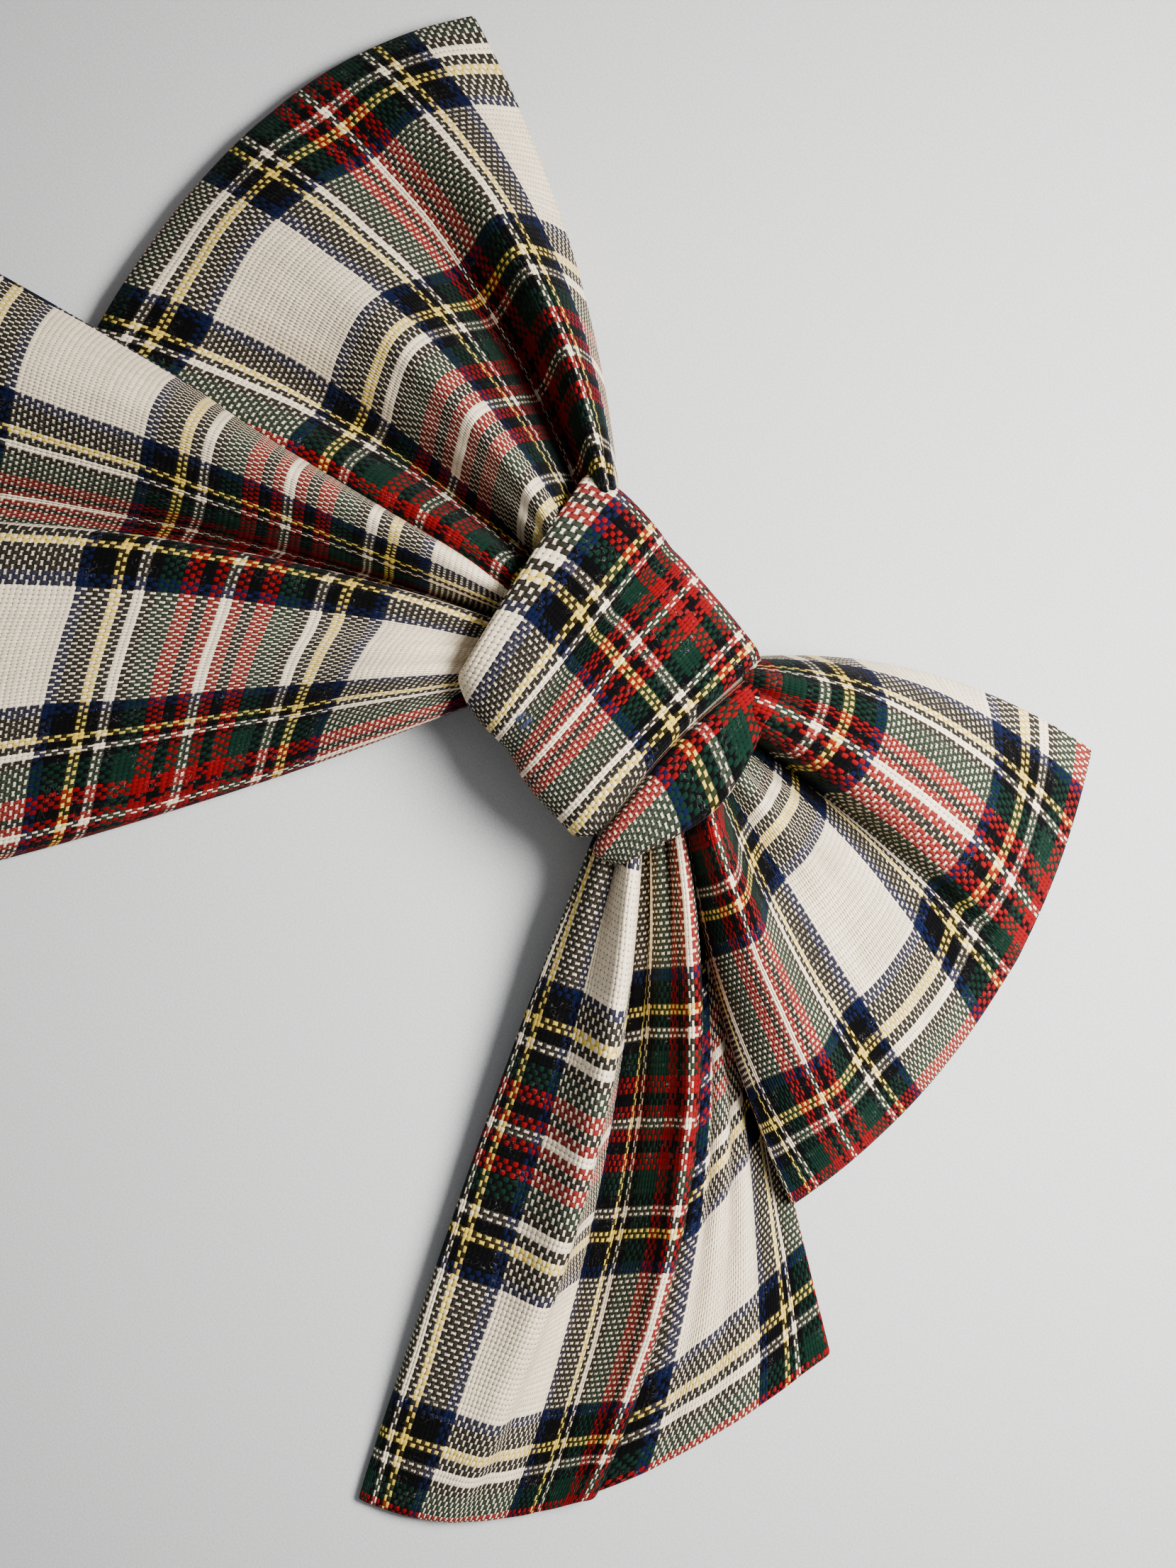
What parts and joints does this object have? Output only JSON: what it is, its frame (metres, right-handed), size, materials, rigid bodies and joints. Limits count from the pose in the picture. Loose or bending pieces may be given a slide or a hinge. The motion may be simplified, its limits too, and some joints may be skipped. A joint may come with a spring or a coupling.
{
  "type": "bow tie",
  "caption": "Floppy tartan bow tie with two pleated loops, two square-cut tails, a wound knot and a sprung clip sewn to its back.",
  "frame": {"origin": "on the flat underside of the clip's lever, under the middle of the knot; the bow lies on its back", "axes": "+X along the loops towards the right loop, +Y away from the tails (up when worn), +Z out of the front of the bow"},
  "size_m": [0.2555, 0.1926, 0.0285],
  "materials": {
    "tartan_cotton": "brushed yarn-dyed plain weave in cream, navy, black, green, red and pale yellow",
    "tartan_lining": "the same cloth, inner ply",
    "sewing_thread": "spun polyester, navy",
    "clip_steel": "nickel plated",
    "spring_steel": "blued"
  },
  "bodies": {
    "bow": {"left_loop_face": "tartan_cotton", "left_loop_lining": "tartan_lining", "right_loop_face": "tartan_cotton", "right_loop_lining": "tartan_lining", "loop_waist": "tartan_lining", "tail_waist": "tartan_lining", "knot_face": "tartan_cotton", "knot_lining": "tartan_lining", "waist_binding_thread": "sewing_thread", "loop_join_stitches": "sewing_thread", "knot_back_stitches": "sewing_thread", "clip_stitches": "sewing_thread", "clip_plate": "clip_steel", "clip_pin": "clip_steel", "clip_spring": "spring_steel"},
    "left_tail": {"left_tail_face": "tartan_cotton", "left_tail_lining": "tartan_lining"},
    "right_tail": {"right_tail_face": "tartan_cotton", "right_tail_lining": "tartan_lining"},
    "clip_lever": {"clip_lever": "clip_steel"}
  },
  "joints": [
    {"name": "left_tail_swing", "type": "hinge", "parent": "bow", "child": "left_tail", "pos_m": [-0.012, -0.007, 0.0135], "axis": [0, 0, 1], "range_deg": [0, 25]},
    {"name": "right_tail_swing", "type": "hinge", "parent": "bow", "child": "right_tail", "pos_m": [0.014, -0.008, 0.013], "axis": [0, 0, -1], "range_deg": [0, 25]},
    {"name": "clip_jaw", "type": "hinge", "parent": "bow", "child": "clip_lever", "pos_m": [-0.004, 0, 0.0034], "axis": [0, 1, 0], "range_deg": [0, 14], "stiffness_Nm_per_rad": 0.1, "springref_deg": -34.38, "deforming": ["clip_spring"]}
  ]
}
